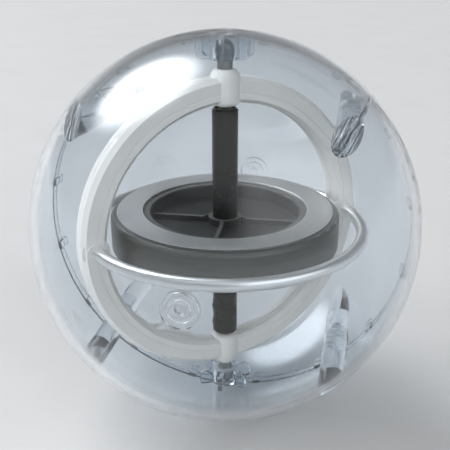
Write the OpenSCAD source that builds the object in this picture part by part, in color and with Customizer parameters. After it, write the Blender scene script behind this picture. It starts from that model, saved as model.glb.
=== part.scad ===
// Gyroscope held in a clear ball that opens along a seam.
// The ball is centred on the origin, the rotor's axle runs along +Z,
// and the half of the ball that lifts off faces -Y.

/* [Ball] */
// Outer diameter of the clear ball
ball_d = 90; // [88:0.5:110]
// Wall thickness of each half of the ball
ball_wall = 1.8; // [1.5:0.1:2.6]
// How far the front half's lip reaches into the rear half
lip_h = 1.4; // [1:0.1:2.5]
// Thickness of the lip
lip_t = 0.85; // [0.6:0.05:1]
// Width of each snap tab inside the seam
tab_w = 1.8; // [1:0.1:3]
// Thickness of each snap tab
tab_t = 0.8; // [0.5:0.1:1.2]
// How far each snap tab reaches past the lip
tab_reach = 1.4; // [0.8:0.1:2]
// Number of snap tabs around the seam
tab_count = 16; // [8:4:16]

/* [Posts] */
// Diameter of the four posts that line the halves up
post_d = 5.6; // [4.8:0.1:6]
// Diameter of the peg on the end of each front post
peg_d = 2.6; // [1.8:0.1:3]
// Length of each peg past the seam
peg_l = 3.5; // [2:0.1:5]
// Thickness of the web behind each post and of the pole ribs
rib_t = 1; // [0.8:0.1:1.6]
// Gap between the turning ring and the posts
post_gap = 1; // [0.6:0.1:1.6]

/* [Poles] */
// Thickness of the seat between each pole socket and the wall
seat_t = 0.4; // [0.2:0.1:1.5]
// Wall around each pole socket
socket_wall = 1.25; // [1:0.05:1.6]
// Depth of each pole socket
socket_depth = 4.2; // [3:0.1:4.6]
// Reach of the pole ribs from the axle's line
pole_rib_reach = 6.6; // [5.5:0.1:8]
// Diameter of the moulded disc in the middle of each half
disc_d = 7.8; // [6:0.1:10]
// Height of the disc above the inner wall
disc_h = 1.3; // [1:0.1:2]

/* [Ring] */
// Width of the ring from its outer to its inner face
ring_w = 5.7; // [5.2:0.1:6.2]
// Thickness of the two ring halves together
ring_t = 5.4; // [5.2:0.1:6.2]
// Bevel on the ring's outer edges
outer_bevel = 1; // [0.5:0.1:1.3]
// Bevel on the ring's inner edges
inner_bevel = 0.8; // [0.5:0.1:1.2]
// Distance from the ring's inner face to the groove in its flat sides
groove_in = 2.1; // [1.8:0.1:2.6]
// Width of that groove
groove_w = 0.5; // [0.3:0.1:0.8]
// Depth of that groove
groove_t = 0.2; // [0.1:0.05:0.3]
// Chamfer along the line where the two ring halves meet
joint_chamfer = 0.25; // [0.15:0.05:0.4]
// Diameter of the boss at each end of the axle
boss_d = 7; // [6.8:0.1:8]
// How far each boss stands out of the ring
boss_out = 1.5; // [1.2:0.1:2]
// Height of the rounding on each boss's outer end
boss_round = 2.8; // [1.5:0.1:3.2]
// Height of the rounding on each boss's inner end
boss_nose = 1.4; // [0.8:0.1:1.8]
// How far each boss stands into the ring
boss_in = 0.9; // [0.5:0.1:1.3]
// Pegs that join the two ring halves
ring_peg_count = 8; // [4:4:12]
// Diameter of those pegs
ring_peg_d = 2; // [1.4:0.1:2.4]
// Length of those pegs
ring_peg_l = 1.6; // [1:0.1:1.8]
// Angle from the ball's seam to the ring, at rest
ring_turn = 37; // [0:1:90]

/* [Guard] */
// Diameter of the guard hoop's wire
wire_d = 2.8; // [2:0.1:3]
// Distance from the ring's outer face to the middle of the wire
wire_inset = 3.2; // [2.8:0.1:3.4]
// Wall of the bush around each end of the wire
bush_wall = 0.8; // [0.6:0.05:1]
// How far each bush stands out of the ring's faces
bush_out = 0.35; // [0.2:0.05:0.8]
// Thickness of the swelling of the ring around each bush
pad_wall = 0.95; // [0.6:0.05:1.2]

/* [Pivots] */
// Diameter of the pin's body and neck
neck_d = 3.4; // [2.6:0.1:3.6]
// Length of the neck that shows between boss and knob
neck_l = 2; // [1.4:0.1:2.6]
// Diameter of the knob on the pin's outer end
knob_d = 4.2; // [3.8:0.1:4.6]
// Length of the straight part of the knob
knob_land = 0.8; // [0.4:0.1:1.4]
// Diameter of the collar that the ring halves hold
collar_d = 5; // [4.4:0.1:5.4]
// Thickness of the collar
collar_t = 1.2; // [0.8:0.1:1.6]
// Diameter of the pin's inner journal
journal_d = 2; // [1.6:0.1:2.4]
// How far the journal reaches into the bearing cup
journal_reach = 2.4; // [1.8:0.1:3]

/* [Rotor] */
// Gap between the heavy rim and the ring around it
rim_gap = 2.9; // [2.4:0.1:6]
// Thickness of the rim
rim_t = 9.2; // [7:0.2:11]
// Width of the rim from its outer to its inner face
rim_w = 7.8; // [5:0.2:9]
// Chamfer on the rim's outer edges
rim_chamfer = 0.7; // [0.3:0.1:1]
// Chamfer on the edges of the rim's bore
bore_chamfer = 0.4; // [0.2:0.1:0.6]
// Width of the lower land outside the rim's bright face
land_w = 0.8; // [0.4:0.1:1.2]
// Depth of that land below the bright face
land_step = 0.4; // [0.2:0.05:0.8]
// Thickness of the web between hub and rim
web_t = 1.8; // [1.2:0.1:3]
// Number of ribs on each side of the web
rib_count = 4; // [3:1:6]
// Height of each rib above the web
rib_h = 1.1; // [0.6:0.1:2]
// Thickness of each rib
web_rib_t = 0.9; // [0.6:0.1:1.4]
// Height of the hub above the web
hub_h = 1.6; // [0.8:0.1:2.4]
// Wall of the hub around the axle
hub_wall = 0.9; // [0.6:0.1:1.6]
// Wall of the flange that the rim is pressed on
flange_wall = 1.5; // [0.8:0.1:2]
// How far the flange stays below the rim's bright faces
flange_drop = 0.5; // [0.3:0.1:1.2]

/* [Axle] */
// Diameter of the axle
axle_d = 5.9; // [5.4:0.1:6.4]
// Chamfer on the axle's ends
axle_chamfer = 0.4; // [0.2:0.1:0.6]
// Gap between the axle's ends and the bosses
axle_gap = 0.5; // [0.3:0.05:0.8]
// Diameter of each bearing cup
cup_d = 4.2; // [3.4:0.1:4.6]
// Length of each bearing cup
cup_l = 3.4; // [2.8:0.1:4.5]
// Depth of the cup's mouth inside the axle's end
cup_recess = 0.3; // [0.1:0.05:0.6]
// Diameter of the cross hole for the starting string
string_hole_d = 1.8; // [1.2:0.1:2.4]
// Distance from the axle's lower end up to the string hole
string_hole_up = 12.5; // [8:0.1:16]

/* [Fits] */
// Radial play of pins that turn in their seats
turn_fit = 0.05; // [0.02:0.01:0.1]
// Play of pegs, lips and tabs that push together
push_fit = 0.05; // [0.02:0.01:0.1]
// Play at the ends of the pivots
end_play = 0.1; // [0.05:0.05:0.2]

/* [Hidden] */
$fn = 96;
ball_r = ball_d / 2;
ball_ri = ball_r - ball_wall;
lip_r = ball_ri + lip_t;
post_r = post_d / 2;

// the knobs sit in the pole sockets, and the ring's size follows from them
knob_r = knob_d / 2;
socket_r = knob_r + turn_fit;
socket_floor = ball_ri - seat_t;
socket_mouth = socket_floor - socket_depth;
socket_out = socket_r + socket_wall;
knob_end = socket_floor - end_play;
knob_z = knob_end - knob_r - knob_land;
// the knob's lower ball starts where it comes out of the neck
knob_z0 = knob_z - sqrt(pow(knob_r, 2) - pow(neck_d / 2, 2));

boss_z1 = knob_z0 - neck_l;
ring_r = boss_z1 - boss_out;
ring_d = 2 * ring_r;
ring_ri = ring_r - ring_w;
ring_mid = ring_r - ring_w / 2;
half_t = ring_t / 2;
groove_r = ring_ri + groove_in;
boss_r = boss_d / 2;
boss_z0 = ring_ri - boss_in;

wire_r = wire_d / 2;
guard_r = ring_r - wire_inset;
bush_r = wire_r + bush_wall;
pad_r = bush_r + pad_wall;

collar_z = (boss_z0 + boss_z1) / 2;
axle_z = boss_z0 - axle_gap;
journal_r = journal_d / 2;
journal_end = axle_z - cup_recess - journal_reach;
cone_l = journal_r * 0.6;
cup_z0 = axle_z - cup_recess - cup_l;

// the widest thing that turns inside the ball, and the posts beyond it
sweep_r = max(ring_r, guard_r + pad_r);
post_c = sweep_r + post_gap + post_r;

rim_r = ring_ri - rim_gap;
rim_ri = rim_r - rim_w;
axle_r = axle_d / 2;
hub_r = axle_r + hub_wall;
flange_ri = rim_ri - flange_wall;
flange_z = rim_t / 2 - flange_drop;
flange_edge = 0.3;

clear_plastic = [0.78, 0.84, 0.92, 0.28];
white_plastic = [0.9, 0.89, 0.87];
dark_plastic = [0.2, 0.19, 0.18];
rim_metal = [0.55, 0.55, 0.56];
bright_metal = [0.8, 0.8, 0.82];
bearing_metal = [0.72, 0.58, 0.34];

// ---- ball ----

// keeps what lies in front of the seam, stopping short of it by gap
module front_of(gap = 0) {
    intersection() {
        translate([-ball_d, -2 * ball_d - gap, -ball_d]) cube(2 * ball_d);
        children();
    }
}

module ball_wall_half() {
    front_of() difference() {
        sphere(r = ball_r);
        sphere(r = ball_ri);
    }
}

// a post along Y with a web that ties it to the wall behind it
module post_solid() {
    for (a = [45 : 90 : 315]) rotate([0, a, 0]) {
        translate([post_c, 0, 0]) rotate([90, 0, 0]) cylinder(r = post_r, h = ball_r);
        translate([post_c, -ball_r, -rib_t / 2]) cube([ball_r - post_c, ball_r, rib_t]);
    }
}

module socket_solid() {
    translate([0, 0, socket_mouth]) cylinder(r = socket_out, h = ball_r - socket_mouth);
    for (a = [-30, -90, -150]) rotate([0, 0, a])
        rotate([90, 0, 0]) linear_extrude(height = rib_t, center = true)
            polygon([[0, socket_mouth + rib_t / 4], [pole_rib_reach - rib_t, socket_mouth + rib_t / 4],
                     [pole_rib_reach, socket_mouth + rib_t],
                     [pole_rib_reach, ball_r], [0, ball_r]]);
}

// rings around a small nipple, as a gate mark is moulded
module disc_solid() {
    r = disc_d / 2;
    floor_y = ball_ri - disc_h;
    rotate([90, 0, 0]) rotate_extrude()
        polygon([[0, ball_r], [0, floor_y - 0.5], [r * 0.23, floor_y - 0.5], [r * 0.3, floor_y + 0.5],
                 [r * 0.48, floor_y + 0.5], [r * 0.52, floor_y], [r * 0.66, floor_y],
                 [r * 0.7, floor_y + 0.6], [r * 0.88, floor_y + 0.6], [r * 0.92, floor_y + 0.2],
                 [r, floor_y + 0.2], [r, ball_r]]);
}

module socket_bore() {
    translate([0, 0, socket_mouth - 1]) cylinder(r = socket_r, h = socket_floor - socket_mouth + 1);
}

// one half of the ball with all that is moulded inside it, in front of the seam
module ball_half() {
    difference() {
        union() {
            ball_wall_half();
            front_of(gap = push_fit) intersection() {
                sphere(r = ball_r - ball_wall / 2);
                union() {
                    post_solid();
                    socket_solid();
                    mirror([0, 0, 1]) socket_solid();
                    disc_solid();
                }
            }
        }
        socket_bore();
        mirror([0, 0, 1]) socket_bore();
    }
}

module lip() {
    rotate([-90, 0, 0]) translate([0, 0, -lip_h]) difference() {
        cylinder(r = lip_r, h = 2 * lip_h);
        translate([0, 0, -1]) cylinder(r = ball_ri, h = 2 * lip_h + 2);
    }
}

// tabs stand inside the lip, between the posts and clear of the poles
module tabs() {
    step = 360 / tab_count;
    inner = ball_ri - tab_t;
    for (k = [0 : tab_count - 1]) rotate([0, (k + 0.5) * step, 0]) {
        translate([inner, -tab_reach, -tab_w / 2]) cube([tab_t + lip_t / 2, tab_reach + lip_h, tab_w]);
        translate([inner, 0, -tab_w / 2]) cube([tab_t - 4 * push_fit, lip_h + tab_reach, tab_w]);
    }
}

module front_shell() {
    color(clear_plastic) {
        union() {
            ball_half();
            lip();
            tabs();
            for (a = [45 : 90 : 315]) rotate([0, a, 0]) translate([post_c, -1, 0])
                rotate([-90, 0, 0]) cylinder(r = peg_d / 2, h = peg_l + 1);
        }
    }
}

module rear_shell() {
    color(clear_plastic) difference() {
        mirror([0, 1, 0]) ball_half();
        // rebate for the lip
        rotate([-90, 0, 0]) translate([0, 0, -1]) difference() {
            cylinder(r = lip_r + push_fit, h = lip_h + 1 + end_play);
            translate([0, 0, -1]) cylinder(r = ball_ri - push_fit, h = lip_h + 4);
        }
        for (a = [45 : 90 : 315]) rotate([0, a, 0]) translate([post_c, -1, 0])
            rotate([-90, 0, 0]) cylinder(r = peg_d / 2 + push_fit, h = peg_l + 1 + end_play);
    }
}

// ---- ring, turned from the seam ----

module at_ring() {
    rotate([0, 0, ring_turn]) children();
}

// front half of the ring's section, where x is the radius and y the depth
module half_section() {
    polygon([[ring_ri + joint_chamfer, 0], [ring_r - joint_chamfer, 0], [ring_r, joint_chamfer],
             [ring_r, half_t - outer_bevel], [ring_r - outer_bevel, half_t],
             [groove_r + groove_w / 2, half_t], [groove_r + groove_w / 4, half_t - groove_t],
             [groove_r - groove_w / 4, half_t - groove_t], [groove_r - groove_w / 2, half_t],
             [ring_ri + inner_bevel, half_t], [ring_ri, half_t - inner_bevel],
             [ring_ri, joint_chamfer]]);
}

module boss() {
    end_r = neck_d / 2 + 0.15;
    swell = boss_r - end_r;
    // quarters of ellipses round the nose and bring the outer end down to the neck
    nose = [for (a = [90 : -15 : 0])
        [end_r + swell * cos(a), boss_z0 + boss_nose * (1 - sin(a))]];
    outer = [for (a = [0 : 15 : 90])
        [end_r + swell * cos(a), boss_z1 - boss_round * (1 - sin(a))]];
    rotate_extrude() polygon(concat([[0, boss_z0]], nose, outer, [[0, boss_z1]]));
}

module pivot_seat() {
    translate([0, 0, boss_z0 - 1]) cylinder(r = neck_d / 2, h = boss_z1 - boss_z0 + 2);
    translate([0, 0, collar_z - collar_t / 2]) cylinder(r = collar_d / 2, h = collar_t);
}

module ring_pegs(extra = 0) {
    step = 360 / ring_peg_count;
    for (k = [0 : ring_peg_count - 1]) rotate([0, (k + 0.5) * step, 0]) translate([ring_mid, 1, 0])
        rotate([90, 0, 0]) cylinder(r = ring_peg_d / 2 + extra, h = ring_peg_l + 1 + extra);
}

module ring_half() {
    difference() {
        union() {
            rotate([90, 0, 0]) rotate_extrude() half_section();
            intersection() {
                translate([-ring_r, -ring_d, -ring_d]) cube([ring_d, ring_d, 2 * ring_d]);
                union() {
                    boss();
                    mirror([0, 0, 1]) boss();
                }
            }
            for (s = [-1, 1]) translate([s * guard_r, 0, 0]) rotate([90, 0, 0])
                cylinder(r = pad_r, h = half_t - 0.3);
        }
        pivot_seat();
        mirror([0, 0, 1]) pivot_seat();
        for (s = [-1, 1]) translate([s * guard_r, 0, 0]) rotate([90, 0, 0])
            cylinder(r = bush_r, h = ring_t, center = true);
    }
}

module frame_ring_front() {
    color(white_plastic) at_ring() difference() {
        ring_half();
        ring_pegs(extra = push_fit);
    }
}

module frame_ring_rear() {
    color(white_plastic) at_ring() union() {
        mirror([0, 1, 0]) ring_half();
        ring_pegs();
    }
}

module wire_loop() {
    rotate_extrude() translate([guard_r, 0]) circle(r = wire_r);
}

module guard_half() {
    intersection() {
        wire_loop();
        translate([-ring_d, -2 * ring_d - push_fit, -ring_d]) cube(2 * ring_d);
    }
}

module guard_hoop_front() {
    color(bright_metal) at_ring() guard_half();
}

module guard_hoop_rear() {
    color(bright_metal) at_ring() mirror([0, 1, 0]) guard_half();
}

// a bush around the two wire ends that meet in the ring
module guard_bush(side) {
    color(white_plastic) at_ring() difference() {
        translate([side * guard_r, 0, 0]) rotate([90, 0, 0])
            cylinder(r = bush_r, h = ring_t + 2 * bush_out, center = true);
        wire_loop();
    }
}

module guard_bush_left() {
    guard_bush(-1);
}

module guard_bush_right() {
    guard_bush(1);
}

// the pin that the ring halves hold, with its journal towards the rotor
module pivot_pin() {
    color(bright_metal) union() {
        translate([0, 0, journal_end]) cylinder(r1 = journal_r * 0.35, r2 = journal_r, h = cone_l);
        translate([0, 0, journal_end + cone_l]) cylinder(r = journal_r, h = boss_z0 - journal_end - cone_l + 1);
        translate([0, 0, boss_z0]) cylinder(r = neck_d / 2, h = knob_z - boss_z0);
        translate([0, 0, collar_z - collar_t / 2]) cylinder(r = collar_d / 2, h = collar_t);
        translate([0, 0, knob_z]) sphere(r = knob_r);
        translate([0, 0, knob_z]) cylinder(r = knob_r, h = knob_land);
        translate([0, 0, knob_z + knob_land]) sphere(r = knob_r);
    }
}

module upper_pivot_pin() {
    at_ring() pivot_pin();
}

module lower_pivot_pin() {
    at_ring() mirror([0, 0, 1]) pivot_pin();
}

// ---- rotor ----

module bearing_cup() {
    color(bearing_metal) difference() {
        translate([0, 0, cup_z0]) cylinder(r = cup_d / 2, h = cup_l);
        translate([0, 0, journal_end + cone_l]) cylinder(r = journal_r + turn_fit, h = cup_l);
        translate([0, 0, journal_end - end_play])
            cylinder(r1 = journal_r * 0.35, r2 = journal_r + turn_fit, h = cone_l + end_play);
    }
}

module upper_bearing_cup() {
    bearing_cup();
}

module lower_bearing_cup() {
    mirror([0, 0, 1]) bearing_cup();
}

module axle() {
    color(dark_plastic) difference() {
        union() {
            cylinder(r = axle_r, h = 2 * (axle_z - axle_chamfer), center = true);
            for (s = [0, 1]) mirror([0, 0, s]) translate([0, 0, axle_z - axle_chamfer])
                cylinder(r1 = axle_r, r2 = axle_r - axle_chamfer, h = axle_chamfer);
        }
        for (s = [0, 1]) mirror([0, 0, s])
            translate([0, 0, cup_z0]) cylinder(r = cup_d / 2, h = axle_z);
        translate([0, 0, string_hole_up - axle_z]) rotate([0, 90, 0])
            cylinder(r = string_hole_d / 2, h = 2 * axle_d, center = true);
    }
}

// ribs rise a little where they meet the hub
module web_rib() {
    base = web_t / 2;
    rotate([90, 0, 0]) linear_extrude(height = web_rib_t, center = true)
        polygon([[hub_r - 0.3, 0], [hub_r - 0.3, base + hub_h], [hub_r + 0.3, base + hub_h],
                 [hub_r + 0.3 + (hub_h - rib_h) * 2, base + rib_h], [flange_ri + 0.3, base + rib_h],
                 [flange_ri + 0.3, 0]]);
}

module rotor_web() {
    base = web_t / 2;
    color(dark_plastic) union() {
        rotate_extrude()
            polygon([[axle_r, -base - hub_h], [hub_r, -base - hub_h], [hub_r, -base],
                     [flange_ri, -base], [flange_ri, -flange_z + flange_edge],
                     [flange_ri + flange_edge, -flange_z], [rim_ri, -flange_z],
                     [rim_ri, flange_z], [flange_ri + flange_edge, flange_z],
                     [flange_ri, flange_z - flange_edge], [flange_ri, base],
                     [hub_r, base], [hub_r, base + hub_h], [axle_r, base + hub_h]]);
        for (k = [0 : rib_count - 1]) rotate([0, 0, 2 + k * 360 / rib_count]) {
            web_rib();
            mirror([0, 0, 1]) web_rib();
        }
    }
}

// both faces of the rim alike: a bright face, then a lower land and a chamfer
module rotor_rim() {
    top = rim_t / 2;
    face_r = rim_r - rim_chamfer - land_w;
    side = [[rim_ri, top - bore_chamfer], [rim_ri + bore_chamfer, top],
            [face_r, top], [face_r, top - land_step],
            [rim_r - rim_chamfer, top - land_step],
            [rim_r, top - land_step - rim_chamfer]];
    far_side = [for (k = [len(side) - 1 : -1 : 0]) [side[k][0], -side[k][1]]];
    color(rim_metal) rotate_extrude() polygon(concat(side, far_side));
}

front_shell();
rear_shell();
frame_ring_front();
frame_ring_rear();
guard_hoop_front();
guard_hoop_rear();
guard_bush_left();
guard_bush_right();
upper_pivot_pin();
lower_pivot_pin();
upper_bearing_cup();
lower_bearing_cup();
axle();
rotor_web();
rotor_rim();
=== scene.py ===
"""Gyroscope in a clear ball: a finish for each piece, the turned rim and a plain studio."""

import math

import bmesh
import bpy
from bpy.props import FloatProperty, FloatVectorProperty, PointerProperty
from bpy.types import Operator, Panel, PropertyGroup
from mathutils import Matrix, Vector


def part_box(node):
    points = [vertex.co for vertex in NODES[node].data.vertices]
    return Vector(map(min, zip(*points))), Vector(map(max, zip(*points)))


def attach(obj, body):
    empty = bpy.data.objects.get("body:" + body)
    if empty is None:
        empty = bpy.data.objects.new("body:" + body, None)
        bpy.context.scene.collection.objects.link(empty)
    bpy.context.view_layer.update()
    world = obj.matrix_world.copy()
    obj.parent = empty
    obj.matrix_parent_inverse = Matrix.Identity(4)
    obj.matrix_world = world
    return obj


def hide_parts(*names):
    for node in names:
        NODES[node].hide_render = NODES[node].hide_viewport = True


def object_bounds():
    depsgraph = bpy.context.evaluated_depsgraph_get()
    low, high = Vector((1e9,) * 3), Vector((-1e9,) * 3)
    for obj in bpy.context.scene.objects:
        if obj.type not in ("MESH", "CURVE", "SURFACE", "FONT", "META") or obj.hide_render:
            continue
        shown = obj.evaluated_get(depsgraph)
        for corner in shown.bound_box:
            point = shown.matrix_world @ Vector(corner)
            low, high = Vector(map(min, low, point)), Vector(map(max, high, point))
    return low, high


bl_info = {
    "name": "Gyroscope in a Clear Ball",
    "version": (1, 0, 0),
    "blender": (4, 5, 0),
    "location": "View3D > Sidebar > Gyroscope",
    "description": "Finishes the pieces of a gyroscope in a clear ball and sets up its studio",
    "category": "Object",
}

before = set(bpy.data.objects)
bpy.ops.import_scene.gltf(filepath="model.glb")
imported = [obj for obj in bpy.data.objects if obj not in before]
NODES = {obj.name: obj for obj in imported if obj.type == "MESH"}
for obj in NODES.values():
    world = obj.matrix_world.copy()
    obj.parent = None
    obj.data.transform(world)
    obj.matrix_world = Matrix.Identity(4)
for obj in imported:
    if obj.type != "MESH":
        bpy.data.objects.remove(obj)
CAD_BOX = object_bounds()
RIM_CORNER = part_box("rotor_rim")[1]
WEB_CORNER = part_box("rotor_web")[1]
MM = 0.001

# relief of the surfaces, in metres
GRAIN_RELIEF = 0.03 * MM
TOOL_RELIEF = 0.04 * MM
RIPPLE_RELIEF = 0.2 * MM

# size of the surface patterns, in patches per metre
CLOUD_SCALE = 70.0
GRAIN_SCALE = 2600.0
SMUDGE_SCALE = 120.0
HAIR_SCALE = 160.0
DULL_SCALE = 40.0
RIPPLE_SCALE = 55.0
FLOOR_SCALE = 30.0

# how far flow clouds, smudges and tool lines change a surface's roughness
CLOUD_ROUGHNESS = 0.06
SMUDGE_ROUGHNESS = 0.07
LINE_ROUGHNESS = 0.33

# pointiness at which an outer edge starts to look worn, and is fully worn
EDGE_START, EDGE_FULL = 0.52, 0.62

# slant of the hair scratches, and how much narrower than long they are
HAIR_SLANT = (0.5, 0.9, 0.2)
HAIR_NARROWING = (1, 14, 14)

CLEAR_IOR = 1.49
SOLID_IOR = 1.5
LAMP_TINT = (0.94, 0.955, 0.97, 1)
AIR_TINT = (0.965, 0.98, 1.0, 1)


# ---- meshes ----


# a rounding takes no more than this share of a side
SHORT_SIDE = 0.45


def rounded(profile, radius, steps=5):
    """A closed profile of (radius, height) points with each corner rounded."""
    points = []
    count = len(profile)
    for i, (x, z) in enumerate(profile):
        here = Vector((x, z))
        before = Vector(profile[i - 1]) - here
        after = Vector(profile[(i + 1) % count]) - here
        reach = min(radius, before.length * SHORT_SIDE, after.length * SHORT_SIDE)
        start = here + before.normalized() * reach
        end = here + after.normalized() * reach
        for k in range(steps + 1):
            t = k / steps
            a = start.lerp(here, t)
            b = here.lerp(end, t)
            points.append(tuple(a.lerp(b, t)))
    return points


def turned(name, profile, segments=192):
    """A closed profile of (radius, height) points in metres turned about the axle's line."""
    mesh = bpy.data.meshes.new(name)
    bm = bmesh.new()
    rings = []
    for k in range(segments):
        a = 2 * math.pi * k / segments
        rings.append([bm.verts.new((r * math.cos(a), r * math.sin(a), z)) for r, z in profile])
    for k, ring in enumerate(rings):
        following = rings[(k + 1) % segments]
        for i in range(len(profile)):
            j = (i + 1) % len(profile)
            bm.faces.new((ring[i], following[i], following[j], ring[j]))
    bmesh.ops.remove_doubles(bm, verts=bm.verts, dist=1e-7)
    bmesh.ops.recalc_face_normals(bm, faces=bm.faces)
    bm.to_mesh(mesh)
    bm.free()
    mesh.shade_smooth()
    piece = bpy.data.objects.new(name, mesh)
    bpy.context.scene.collection.objects.link(piece)
    return piece


def dress(material, *names):
    """Gives carried nodes a finish."""
    for name in names:
        materials = NODES[name].data.materials
        materials.clear()
        materials.append(material)


# ---- shader parts ----


class Tree:
    """A node tree being filled from left to right."""

    def __init__(self, tree):
        self.tree = tree
        self.column = 0

    def add(self, kind, inputs=None, **settings):
        """A new node with its settings, and its sockets set or linked."""
        node = self.tree.nodes.new(kind)
        self.column += 1
        node.location = (self.column * 190, 0)
        for key, value in settings.items():
            setattr(node, key, value)
        for key, value in (inputs or {}).items():
            self.plug(value, node.inputs[key])
        return node

    def plug(self, value, socket):
        """Links another node's output to a socket, or sets a plain value."""
        if isinstance(value, bpy.types.NodeSocket):
            self.tree.links.new(value, socket)
        else:
            socket.default_value = value

    def noise(self, vector, scale, detail, roughness):
        return self.add(
            "ShaderNodeTexNoise",
            {"Vector": vector, "Scale": scale, "Detail": detail, "Roughness": roughness},
        ).outputs["Fac"]

    def ramp(self, value, low, high, to_low=0.0, to_high=1.0, **settings):
        """Goes from to_low to to_high while value goes from low to high."""
        return self.add(
            "ShaderNodeMapRange",
            {
                "Value": value, "From Min": low, "From Max": high,
                "To Min": to_low, "To Max": to_high,
            },
            **settings,
        ).outputs["Result"]

    def math(self, operation, a, b=0.0):
        return self.add("ShaderNodeMath", {0: a, 1: b}, operation=operation).outputs[0]

    def length(self, vector):
        return self.add("ShaderNodeVectorMath", {0: vector}, operation="LENGTH").outputs["Value"]

    def axes(self, vector):
        return self.add("ShaderNodeSeparateXYZ", {0: vector}).outputs

    def shaded(self, color, amount):
        """A colour made lighter or darker by an amount around 1."""
        return self.add(
            "ShaderNodeVectorMath", {0: color, "Scale": amount}, operation="SCALE"
        ).outputs[0]

    def blend(self, factor, a, b):
        return self.add(
            "ShaderNodeMix", {"Factor": factor, "A": a, "B": b}, data_type="RGBA"
        ).outputs["Result"]

    def bump(self, height, strength, distance):
        return self.add(
            "ShaderNodeBump", {"Height": height, "Strength": strength, "Distance": distance}
        ).outputs["Normal"]


def group(name, inputs, outputs):
    """An empty shader group with its sockets, and the tree to fill it with."""
    tree = bpy.data.node_groups.new(name, "ShaderNodeTree")
    for label, kind, value in inputs:
        socket = tree.interface.new_socket(label, in_out="INPUT", socket_type=kind)
        socket.default_value = value
    for label, kind in outputs:
        tree.interface.new_socket(label, in_out="OUTPUT", socket_type=kind)
    parts = Tree(tree)
    return tree, parts, parts.add("NodeGroupInput").outputs, parts.add("NodeGroupOutput").inputs


FLOAT, COLOR, VECTOR = "NodeSocketFloat", "NodeSocketColor", "NodeSocketVector"


def moulded_skin():
    """Faint flow clouds and fine grain of a moulded plastic surface."""
    name = "moulded skin"
    if name in bpy.data.node_groups:
        return bpy.data.node_groups[name]
    tree, t, given, result = group(
        name,
        [
            ("Color", COLOR, (0.8, 0.8, 0.8, 1)),
            ("Roughness", FLOAT, 0.35),
            ("Clouds", FLOAT, 0.04),
            ("Grain", FLOAT, 0.1),
        ],
        [("Color", COLOR), ("Roughness", FLOAT), ("Normal", VECTOR)],
    )
    place = t.add("ShaderNodeTexCoord").outputs["Object"]
    clouds = t.ramp(t.noise(place, CLOUD_SCALE, 4.0, 0.55), 0.3, 0.7, -1.0, 1.0)
    shade = t.math("ADD", t.math("MULTIPLY", clouds, given["Clouds"]), 1.0)
    t.plug(t.shaded(given["Color"], shade), result["Color"])
    uneven = t.math("MULTIPLY", clouds, CLOUD_ROUGHNESS)
    t.plug(t.math("ADD", uneven, given["Roughness"]), result["Roughness"])
    grain = t.noise(place, GRAIN_SCALE, 2.0, 0.5)
    t.plug(t.bump(grain, given["Grain"], GRAIN_RELIEF), result["Normal"])
    return tree


def edge_wear():
    """A mask that is high on worn outer edges."""
    name = "edge wear"
    if name in bpy.data.node_groups:
        return bpy.data.node_groups[name]
    tree, t, given, result = group(
        name, [("Amount", FLOAT, 0.5), ("Breakup", FLOAT, 400.0)], [("Mask", FLOAT)]
    )
    pointed = t.add("ShaderNodeNewGeometry").outputs["Pointiness"]
    edge = t.ramp(pointed, EDGE_START, EDGE_FULL)
    place = t.add("ShaderNodeTexCoord").outputs["Object"]
    broken = t.ramp(t.noise(place, given["Breakup"], 4.0, 0.6), 0.35, 0.65)
    mask = t.math("MULTIPLY", edge, broken)
    t.plug(t.math("MULTIPLY", mask, given["Amount"]), result["Mask"])
    return tree


def turned_lines():
    """Fine rings left by a cutting tool around the axle's line, with light smudges."""
    name = "turned lines"
    if name in bpy.data.node_groups:
        return bpy.data.node_groups[name]
    tree, t, given, result = group(
        name,
        [
            ("Color", COLOR, (0.6, 0.6, 0.6, 1)),
            ("Roughness", FLOAT, 0.3),
            ("Line Scale", FLOAT, 2500.0),
            ("Depth", FLOAT, 0.2),
            ("Shade", FLOAT, 0.09),
        ],
        [("Color", COLOR), ("Roughness", FLOAT), ("Normal", VECTOR)],
    )
    place = t.add("ShaderNodeTexCoord").outputs["Object"]
    across, along, height = t.axes(place)
    outward = t.length(t.add("ShaderNodeCombineXYZ", {0: across, 1: along}).outputs[0])
    rings = t.add("ShaderNodeCombineXYZ", {0: outward, 1: height}).outputs[0]
    lines = t.noise(rings, given["Line Scale"], 3.0, 0.7)
    contrast = t.math("MULTIPLY", t.ramp(lines, 0.25, 0.75, -1.0, 1.0), given["Shade"])
    t.plug(t.shaded(given["Color"], t.math("ADD", contrast, 1.0)), result["Color"])
    smudge = t.ramp(t.noise(place, SMUDGE_SCALE, 4.0, 0.6), 0.35, 0.7)
    rough = t.math("ADD", given["Roughness"], t.math("MULTIPLY", smudge, SMUDGE_ROUGHNESS))
    rough = t.math("ADD", rough, t.math("MULTIPLY", contrast, LINE_ROUGHNESS))
    t.plug(rough, result["Roughness"])
    t.plug(t.bump(lines, given["Depth"], TOOL_RELIEF), result["Normal"])
    return tree


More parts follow.
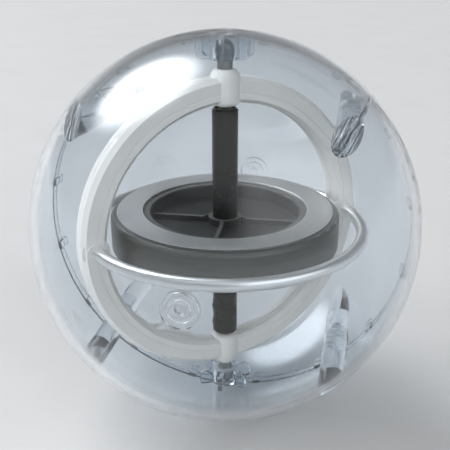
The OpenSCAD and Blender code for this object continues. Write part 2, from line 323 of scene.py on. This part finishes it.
def scuffs():
    """Hair scratches and dull patches of handled clear plastic."""
    name = "handling scuffs"
    if name in bpy.data.node_groups:
        return bpy.data.node_groups[name]
    tree, t, given, result = group(
        name,
        [("Roughness", FLOAT, 0.02), ("Amount", FLOAT, 0.06), ("Ripple", FLOAT, 0.05)],
        [("Roughness", FLOAT), ("Normal", VECTOR)],
    )
    place = t.add("ShaderNodeTexCoord").outputs["Object"]
    stretched = t.add(
        "ShaderNodeMapping",
        {"Vector": place, "Rotation": HAIR_SLANT, "Scale": HAIR_NARROWING},
    ).outputs[0]
    hairs = t.ramp(t.noise(stretched, HAIR_SCALE, 2.0, 0.5), 0.66, 0.74)
    dull = t.ramp(t.noise(place, DULL_SCALE, 4.0, 0.6), 0.5, 0.8)
    marks = t.math("MAXIMUM", hairs, t.math("MULTIPLY", dull, 0.5))
    rough = t.math("ADD", given["Roughness"], t.math("MULTIPLY", marks, given["Amount"]))
    t.plug(rough, result["Roughness"])
    wave = t.noise(place, RIPPLE_SCALE, 1.0, 0.4)
    t.plug(t.bump(wave, given["Ripple"], RIPPLE_RELIEF), result["Normal"])
    return tree


def blank(name):
    """A material with an empty tree to fill."""
    material = bpy.data.materials.new(name)
    material.use_nodes = True
    material.node_tree.nodes.clear()
    return material, Tree(material.node_tree)


def finish_tree(t, shader):
    """Ends a material's tree with its surface."""
    t.add("ShaderNodeOutputMaterial", {"Surface": shader})


# how far the disc's frost and the painted highlight on the rib tops take to fade
DISC_FADE = 0.1 * MM
LIT_TOP_FADE = 0.1 * MM
# depth inside the ball's wall where posts begin, and where they are fully rough
POST_START, POST_DEPTH = 0.3 * MM, 0.6 * MM
# depth below a ground face where its finish and painted lit colour start, and where they are full
FACE_START, FACE_FULL = 0.08 * MM, 0.04 * MM


def clear_plastic(look):
    """Clear plastic that bends what is seen through it and lets lamplight in.

    The moulded disc in the middle of each half is frosted, and the posts and sockets, which
    stand inside the wall, are less polished.
    """
    material, t = blank("clear plastic")
    place = t.add("ShaderNodeTexCoord").outputs["Object"]
    across, _, height = t.axes(place)
    from_middle = t.length(t.add("ShaderNodeCombineXYZ", {0: across, 1: height}).outputs[0])
    on_disc = t.ramp(from_middle, look.disc_radius, look.disc_radius - DISC_FADE)
    frosted = t.math("MULTIPLY", on_disc, look.disc_roughness)
    wall_inside = CAD_BOX[1].z - look.wall
    moulded = t.ramp(
        t.length(place), wall_inside - POST_DEPTH, wall_inside - POST_START,
        look.post_roughness, look.roughness,
    )
    marks = t.add(
        "ShaderNodeGroup",
        {"Roughness": t.math("MAXIMUM", moulded, frosted), "Amount": 0.05, "Ripple": look.ripple},
        node_tree=scuffs(),
    )
    surface = t.add(
        "ShaderNodeBsdfPrincipled",
        {
            "Base Color": (*look.tint, 1),
            "Roughness": marks.outputs["Roughness"],
            "Normal": marks.outputs["Normal"],
            "IOR": CLEAR_IOR,
            "Transmission Weight": 1.0,
        },
    )
    lamps = t.add("ShaderNodeBsdfTransparent", {"Color": LAMP_TINT})
    paths = t.add("ShaderNodeLightPath")
    mixed = t.add(
        "ShaderNodeMixShader",
        {0: paths.outputs["Is Shadow Ray"], 1: surface.outputs[0], 2: lamps.outputs[0]},
    )
    finish_tree(t, mixed.outputs[0])
    return material


def plastic(name, color, worn_color, roughness, clouds, grain, coat=0.0, lit_tops_above=None):
    """Solid moulded plastic, a little paler where its edges are rubbed.

    lit_tops_above gives the height from which level faces are painted paler too: a painted
    highlight, as if lit from above.
    """
    material, t = blank(name)
    skin = t.add(
        "ShaderNodeGroup",
        {"Color": (*color, 1), "Roughness": roughness, "Clouds": clouds, "Grain": grain},
        node_tree=moulded_skin(),
    )
    worn = t.add("ShaderNodeGroup", {"Amount": 0.5}, node_tree=edge_wear()).outputs["Mask"]
    # level faces above the given height get a painted highlight, paler as if lit from above, in
    # the same mask as the rubbed edges
    if lit_tops_above is not None:
        coords = t.add("ShaderNodeTexCoord").outputs
        height = t.math("ABSOLUTE", t.axes(coords["Object"])[2])
        lean = t.math("ABSOLUTE", t.axes(coords["Normal"])[2])
        high = t.ramp(height, lit_tops_above - LIT_TOP_FADE, lit_tops_above)
        worn = t.math("MAXIMUM", worn, t.math("MULTIPLY", high, t.ramp(lean, 0.85, 0.98)))
    tone = t.blend(worn, skin.outputs["Color"], (*worn_color, 1))
    surface = t.add(
        "ShaderNodeBsdfPrincipled",
        {
            "Base Color": tone,
            "Roughness": skin.outputs["Roughness"],
            "Normal": skin.outputs["Normal"],
            "IOR": SOLID_IOR,
            "Coat Weight": coat,
            "Coat Roughness": 0.15,
        },
    )
    finish_tree(t, surface.outputs[0])
    return material


def metal(
    name, color, roughness, line_scale, depth, shade=0.09, worn_color=None, ground=None,
):
    """Turned metal with tool lines around the axle's line.

    worn_color is the colour of its rubbed edges. ground gives the height of ground end faces,
    and their roughness and colour; that colour is painted light, paler than the sides, which read
    as painted shade.
    """
    material, t = blank(name)
    paint, rough = (*color, 1), roughness
    # the end faces get a paler colour than the sides: painted light on the faces and painted
    # shade on the sides, on top of the faces' own roughness
    if ground is not None:
        face_height, lit_face_color, face_roughness = ground
        place = t.add("ShaderNodeTexCoord").outputs["Object"]
        height = t.math("ABSOLUTE", t.axes(place)[2])
        on_face = t.ramp(height, face_height - FACE_START, face_height - FACE_FULL)
        paint = t.blend(on_face, paint, (*lit_face_color, 1))
        rough = t.ramp(on_face, 0.0, 1.0, roughness, face_roughness)
    lines = t.add(
        "ShaderNodeGroup",
        {
            "Color": paint, "Roughness": rough, "Line Scale": line_scale,
            "Depth": depth, "Shade": shade,
        },
        node_tree=turned_lines(),
    )
    tone = lines.outputs["Color"]
    if worn_color is not None:
        wear = t.add("ShaderNodeGroup", {"Amount": 0.8}, node_tree=edge_wear())
        tone = t.blend(wear.outputs["Mask"], tone, (*worn_color, 1))
    surface = t.add(
        "ShaderNodeBsdfPrincipled",
        {
            "Base Color": tone,
            "Roughness": lines.outputs["Roughness"],
            "Normal": lines.outputs["Normal"],
            "Metallic": 1.0,
        },
    )
    finish_tree(t, surface.outputs[0])
    return material


# ---- settings ----


class BallLook(PropertyGroup):
    """Finish of the two clear halves"""

    tint: FloatVectorProperty(
        name="Tint", description="Colour of the clear plastic", subtype="COLOR",
        default=(0.88, 0.915, 0.945), min=0, max=1,
    )
    roughness: FloatProperty(
        name="Roughness", description="Roughness of the polished walls", default=0.015,
        min=0, max=1, subtype="FACTOR",
    )
    disc_radius: FloatProperty(
        name="Disc Radius", description="Radius of the moulded disc that is lightly frosted",
        default=0.0039, min=0, max=0.01, unit="LENGTH",
    )
    disc_roughness: FloatProperty(
        name="Disc Roughness", description="Roughness of the moulded disc", default=0.18,
        min=0, max=1, subtype="FACTOR",
    )
    post_roughness: FloatProperty(
        name="Post Roughness", description="Roughness of the posts and sockets inside",
        default=0.1, min=0, max=1, subtype="FACTOR",
    )
    wall: FloatProperty(
        name="Wall", description="Thickness of the ball's wall", default=0.0018,
        min=0.001, max=0.005, unit="LENGTH",
    )
    ripple: FloatProperty(
        name="Ripple", description="Strength of the slow waves in the moulded walls",
        default=0.06, min=0, max=1, subtype="FACTOR",
    )


class RingLook(PropertyGroup):
    """Finish of the ring and of the wire hoop it carries"""

    color: FloatVectorProperty(
        name="Colour", description="Colour of the ring's plastic", subtype="COLOR",
        default=(0.86, 0.835, 0.79), min=0, max=1,
    )
    worn_color: FloatVectorProperty(
        name="Worn Edges", description="Colour of the ring's rubbed edges", subtype="COLOR",
        default=(0.92, 0.9, 0.87), min=0, max=1,
    )
    wire_color: FloatVectorProperty(
        name="Wire", description="Colour of the guard hoop's wire", subtype="COLOR",
        default=(0.94, 0.935, 0.92), min=0, max=1,
    )


class PivotLook(PropertyGroup):
    """Finish of the pins and of the cups they run in"""

    pin_color: FloatVectorProperty(
        name="Pins", description="Colour of the pivot pins", subtype="COLOR",
        default=(0.42, 0.415, 0.405), min=0, max=1,
    )
    cup_color: FloatVectorProperty(
        name="Cups", description="Colour of the bearing cups", subtype="COLOR",
        default=(0.7, 0.5, 0.22), min=0, max=1,
    )


class RotorLook(PropertyGroup):
    """Finish of the axle, web and rim, and the sizes of the rim's turned edges"""

    # the sides' colour is painted shade and the faces' colour painted light, so the sides read
    # darker than the ends
    rim_color: FloatVectorProperty(
        name="Rim", description="Colour of the heavy rim's sides and edges", subtype="COLOR",
        default=(0.22, 0.214, 0.2), min=0, max=1,
    )
    lit_face_color: FloatVectorProperty(
        name="Rim Faces", description="Colour of the rim's ground faces", subtype="COLOR",
        default=(0.59, 0.582, 0.565), min=0, max=1,
    )
    edge_color: FloatVectorProperty(
        name="Rim Edges", description="Colour of the rim's rubbed edges", subtype="COLOR",
        default=(0.6, 0.6, 0.59), min=0, max=1,
    )
    dark_color: FloatVectorProperty(
        name="Web", description="Colour of the rotor's dark web", subtype="COLOR",
        default=(0.02, 0.0195, 0.017), min=0, max=1,
    )
    # the rib tops' colour is a painted highlight on the level tops, as if lit from above; rib_top
    # gives the height where it starts
    lit_rib_top_color: FloatVectorProperty(
        name="Rubbed Ribs", description="Colour of the web's rubbed rib tops", subtype="COLOR",
        default=(0.11, 0.108, 0.1), min=0, max=1,
    )
    rib_top: FloatProperty(
        name="Rib Top", description="Height of the web's ribs, whose tops are rubbed pale",
        default=0.00195, min=0, max=0.01, unit="LENGTH",
    )
    axle_color: FloatVectorProperty(
        name="Axle", description="Colour of the darkened axle", subtype="COLOR",
        default=(0.046, 0.042, 0.035), min=0, max=1,
    )
    edge_round: FloatProperty(
        name="Edge Rounding", description="Rounding on the rim's turned edges",
        default=0.00018, min=0, max=0.001, unit="LENGTH",
    )
    land_width: FloatProperty(
        name="Land Width", description="Width of the low land around the rim's bright face",
        default=0.0008, min=0, max=0.002, unit="LENGTH",
    )
    land_step: FloatProperty(
        name="Land Step", description="Depth of the low land below the bright face",
        default=0.0004, min=0, max=0.001, unit="LENGTH",
    )
    chamfer: FloatProperty(
        name="Chamfer", description="Chamfer on the rim's outer edges", default=0.0007,
        min=0, max=0.002, unit="LENGTH",
    )
    bore_chamfer: FloatProperty(
        name="Bore Chamfer", description="Chamfer on the edges of the rim's bore",
        default=0.0004, min=0, max=0.001, unit="LENGTH",
    )


class StageSetup(PropertyGroup):
    """Floor and camera"""

    floor_color: FloatVectorProperty(
        name="Floor", description="Colour of the plain floor", subtype="COLOR",
        default=(0.59, 0.59, 0.59), min=0, max=1,
    )
    camera_distance: FloatProperty(
        name="Camera Distance", description="Distance from the camera to the ball's centre",
        default=0.1908, min=0.1, max=2, unit="LENGTH",
    )
    camera_height: FloatProperty(
        name="Camera Elevation", description="Angle of the camera above the horizon",
        default=math.radians(21.9), min=0, max=1.5, subtype="ANGLE",
    )
    camera_turn: FloatProperty(
        name="Camera Turn", description="Angle of the camera round from the ball's front",
        default=math.radians(11.2), min=-3.2, max=3.2, subtype="ANGLE",
    )
    lens: FloatProperty(
        name="Lens", description="Focal length of the camera in millimetres", default=65,
        min=10, max=200, unit="CAMERA",
    )


# ---- pieces ----


class GYRO_OT_clear_ball(Operator):
    """Finish the two clear halves of the ball"""

    bl_idname = "gyro.clear_ball"
    bl_label = "Clear Ball"

    def execute(self, context):
        dress(clear_plastic(context.scene.gyro_ball), "front_shell", "rear_shell")
        return {"FINISHED"}


class GYRO_OT_carrying_ring(Operator):
    """Finish the two halves of the ring and the bushes around the wire"""

    bl_idname = "gyro.carrying_ring"
    bl_label = "Carrying Ring"

    def execute(self, context):
        look = context.scene.gyro_ring
        white = plastic(
            "white plastic", look.color, look.worn_color,
            roughness=0.34, clouds=0.03, grain=0.15, coat=0.3,
        )
        dress(white, "frame_ring_front", "frame_ring_rear", "guard_bush_left", "guard_bush_right")
        return {"FINISHED"}


class GYRO_OT_guard_hoop(Operator):
    """Finish the wire hoop around the rotor"""

    bl_idname = "gyro.guard_hoop"
    bl_label = "Guard Hoop"

    def execute(self, context):
        look = context.scene.gyro_ring
        wire = metal("guard wire", look.wire_color, roughness=0.31, line_scale=900.0, depth=0.04)
        dress(wire, "guard_hoop_front", "guard_hoop_rear")
        return {"FINISHED"}


class GYRO_OT_pivots(Operator):
    """Finish the pivot pins and the bearing cups they run in"""

    bl_idname = "gyro.pivots"
    bl_label = "Pivots"

    def execute(self, context):
        look = context.scene.gyro_pivots
        steel = metal("pivot steel", look.pin_color, roughness=0.36, line_scale=2200.0, depth=0.1)
        dress(steel, "upper_pivot_pin", "lower_pivot_pin")
        brass = metal("cup brass", look.cup_color, roughness=0.3, line_scale=2200.0, depth=0.15)
        dress(brass, "upper_bearing_cup", "lower_bearing_cup")
        return {"FINISHED"}


class GYRO_OT_axle(Operator):
    """Finish the axle"""

    bl_idname = "gyro.axle"
    bl_label = "Axle"

    def execute(self, context):
        look = context.scene.gyro_rotor
        dark = metal(
            "dark axle", look.axle_color,
            roughness=0.26, line_scale=2600.0, depth=0.008, shade=0.03,
        )
        dress(dark, "axle")
        return {"FINISHED"}


class GYRO_OT_web(Operator):
    """Finish the rotor's ribbed web"""

    bl_idname = "gyro.web"
    bl_label = "Rotor Web"

    def execute(self, context):
        look = context.scene.gyro_rotor
        # the rib tops get a painted highlight: level faces above the rib height are painted
        # paler, as if lit from above
        dark = plastic(
            "dark plastic", look.dark_color, look.lit_rib_top_color,
            roughness=0.45, clouds=0.06, grain=0.3, lit_tops_above=look.rib_top,
        )
        dress(dark, "rotor_web")
        return {"FINISHED"}


class GYRO_OT_rim(Operator):
    """Turn the rotor's heavy rim with rounded edges"""

    bl_idname = "gyro.rim"
    bl_label = "Rotor Rim"

    def execute(self, context):
        look = context.scene.gyro_rotor
        inner, outer, top = WEB_CORNER.x, RIM_CORNER.x, RIM_CORNER.z
        face = outer - look.chamfer - look.land_width
        land = top - look.land_step
        upper = [
            (inner, top - look.bore_chamfer),
            (inner + look.bore_chamfer, top),
            (face, top),
            (face, land),
            (outer - look.chamfer, land),
            (outer, land - look.chamfer),
        ]
        lower = [(radius, -height) for radius, height in reversed(upper)]
        rim = turned("turned_rim", rounded(upper + lower, look.edge_round))
        # the rim's end faces are painted paler than its sides: a painted lit top and bottom, and
        # painted shade on the sides
        steel = metal(
            "rim steel", look.rim_color, roughness=0.4, line_scale=1500.0, depth=0.25,
            worn_color=look.edge_color, ground=(top, look.lit_face_color, 0.42),
        )
        rim.data.materials.append(steel)
        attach(rim, "rotor")
        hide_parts("rotor_rim")
        return {"FINISHED"}


# ---- studio ----


def lamp(name, spread, strength, direction):
    """A broad lamp from far away that leaves no reflection of itself."""
    data = bpy.data.lights.new(name, "SUN")
    data.angle = spread
    data.energy = strength
    light = bpy.data.objects.new(name, data)
    light.visible_camera = False
    light.visible_glossy = False
    light.visible_transmission = False
    light.rotation_euler = (-Vector(direction)).to_track_quat("-Z", "Y").to_euler()
    bpy.context.scene.collection.objects.link(light)


# direction, cosine of the angle where it starts and where it is full, strength
SOFTBOXES = (
    ((-0.58, 0.36, 0.73), 0.90, 0.985, 5.6),
    ((0.78, -0.50, 0.38), 0.72, 0.96, 1.2),
    ((-0.60, -0.60, 0.55), 0.78, 0.97, 0.25),
    ((0.10, -0.50, 0.86), 0.82, 0.96, 0.45),
)

# name, spread, strength, direction
LAMPS = (
    ("side fill", math.radians(30), 1.45, (-0.6, -0.36, 0.24)),
    ("front fill", math.radians(45), 0.8, (0.05, -0.7, 0.22)),
)

# half the floor's side, far enough to meet the horizon
FLOOR_REACH = 6.0
# light crosses many walls of clear plastic before it leaves the ball
BOUNCES = 32


def studio_air(scene):
    """A dim studio, paler at the horizon, with a few large softboxes whose edges fade."""
    world = bpy.data.worlds.new("studio air")
    scene.world = world
    world.use_nodes = True
    world.node_tree.nodes.clear()
    t = Tree(world.node_tree)
    way = t.add("ShaderNodeTexCoord").outputs["Generated"]
    height = t.axes(way)[2]
    sky = t.ramp(height, 0.05, 0.6, 0.36, 0.1)
    horizon = t.ramp(height, 0.0, 0.1, 0.22, 0.0)
    light = t.math("ADD", sky, horizon)
    above_horizon = t.ramp(height, 0.08, 0.3)
    for direction, start, full, strength in SOFTBOXES:
        toward = Vector(direction).normalized()
        aim = t.add("ShaderNodeVectorMath", {0: way, 1: toward}, operation="DOT_PRODUCT")
        glow = t.ramp(
            aim.outputs["Value"], start, full, 0.0, strength, interpolation_type="SMOOTHERSTEP",
        )
        light = t.math("ADD", light, t.math("MULTIPLY", glow, above_horizon))
    air = t.add("ShaderNodeBackground", {"Color": AIR_TINT, "Strength": light})
    t.add("ShaderNodeOutputWorld", {"Surface": air.outputs[0]})


def plain_floor(color):
    """A pale floor at the ball's foot."""
    corners = [
        (x * FLOOR_REACH, y * FLOOR_REACH, CAD_BOX[0].z)
        for x, y in ((-1, -1), (1, -1), (1, 1), (-1, 1))
    ]
    mesh = bpy.data.meshes.new("floor")
    mesh.from_pydata(corners, [], [range(len(corners))])
    floor = bpy.data.objects.new("floor", mesh)
    bpy.context.scene.collection.objects.link(floor)
    material, t = blank("plain floor")
    place = t.add("ShaderNodeTexCoord").outputs["Object"]
    tone = t.ramp(t.noise(place, FLOOR_SCALE, 3.0, 0.5), 0.3, 0.7, 0.985, 1.015)
    surface = t.add(
        "ShaderNodeBsdfPrincipled",
        {"Base Color": t.shaded(tuple(color), tone), "Roughness": 0.6},
    )
    finish_tree(t, surface.outputs[0])
    mesh.materials.append(material)


def camera_at(setup):
    """A camera aimed at the ball's centre from the angles and distance that are set."""
    data = bpy.data.cameras.new("camera")
    data.lens = setup.lens
    data.dof.use_dof = False
    data.clip_start, data.clip_end = 0.01, 50
    camera = bpy.data.objects.new("camera", data)
    turn, rise = setup.camera_turn, setup.camera_height
    back = Vector((
        math.sin(turn) * math.cos(rise), -math.cos(turn) * math.cos(rise), math.sin(rise)
    ))
    camera.location = back * setup.camera_distance
    camera.rotation_mode = "QUATERNION"
    camera.rotation_quaternion = (-back).to_track_quat("-Z", "Y")
    bpy.context.scene.collection.objects.link(camera)
    return camera


class GYRO_OT_stage(Operator):
    """Make the floor, the lamps and the camera"""

    bl_idname = "gyro.stage"
    bl_label = "Studio"

    def execute(self, context):
        scene = context.scene
        plain_floor(scene.gyro_stage.floor_color)
        studio_air(scene)
        for name, spread, strength, direction in LAMPS:
            lamp(name, spread, strength, direction)
        scene.camera = camera_at(scene.gyro_stage)
        scene.view_settings.view_transform = "Standard"
        scene.view_settings.look = "Medium High Contrast"
        scene.cycles.max_bounces = BOUNCES
        scene.cycles.glossy_bounces = BOUNCES
        scene.cycles.transmission_bounces = BOUNCES
        scene.cycles.transparent_max_bounces = BOUNCES
        return {"FINISHED"}


class GYRO_PT_panel(Panel):
    """Lists the settings and the pieces"""

    bl_idname = "GYRO_PT_panel"
    bl_label = "Gyroscope"
    bl_space_type = "VIEW_3D"
    bl_region_type = "UI"
    bl_category = "Gyroscope"

    def draw(self, context):
        layout = self.layout
        for group_name, kind in SETTINGS.items():
            box = layout.box()
            settings = getattr(context.scene, group_name)
            for name in kind.__annotations__:
                box.prop(settings, name)
        for operator in PIECES:
            layout.operator(operator.bl_idname)


PIECES = (
    GYRO_OT_clear_ball, GYRO_OT_carrying_ring, GYRO_OT_guard_hoop, GYRO_OT_pivots,
    GYRO_OT_axle, GYRO_OT_web, GYRO_OT_rim, GYRO_OT_stage,
)
SETTINGS = {
    "gyro_ball": BallLook, "gyro_ring": RingLook, "gyro_pivots": PivotLook,
    "gyro_rotor": RotorLook, "gyro_stage": StageSetup,
}


def register():
    """Registers the settings, the pieces and the panel."""
    for group_name, kind in SETTINGS.items():
        bpy.utils.register_class(kind)
        setattr(bpy.types.Scene, group_name, PointerProperty(type=kind))
    for kind in (*PIECES, GYRO_PT_panel):
        bpy.utils.register_class(kind)


def unregister():
    """Takes the panel, the pieces and the settings out again."""
    for kind in reversed((*PIECES, GYRO_PT_panel)):
        bpy.utils.unregister_class(kind)
    for group_name, kind in SETTINGS.items():
        delattr(bpy.types.Scene, group_name)
        bpy.utils.unregister_class(kind)


def main():
    """Makes every piece in order."""
    register()
    bpy.ops.gyro.clear_ball()
    bpy.ops.gyro.carrying_ring()
    bpy.ops.gyro.guard_hoop()
    bpy.ops.gyro.pivots()
    bpy.ops.gyro.axle()
    bpy.ops.gyro.web()
    bpy.ops.gyro.rim()
    bpy.ops.gyro.stage()


if __name__ == "__main__":
    main()
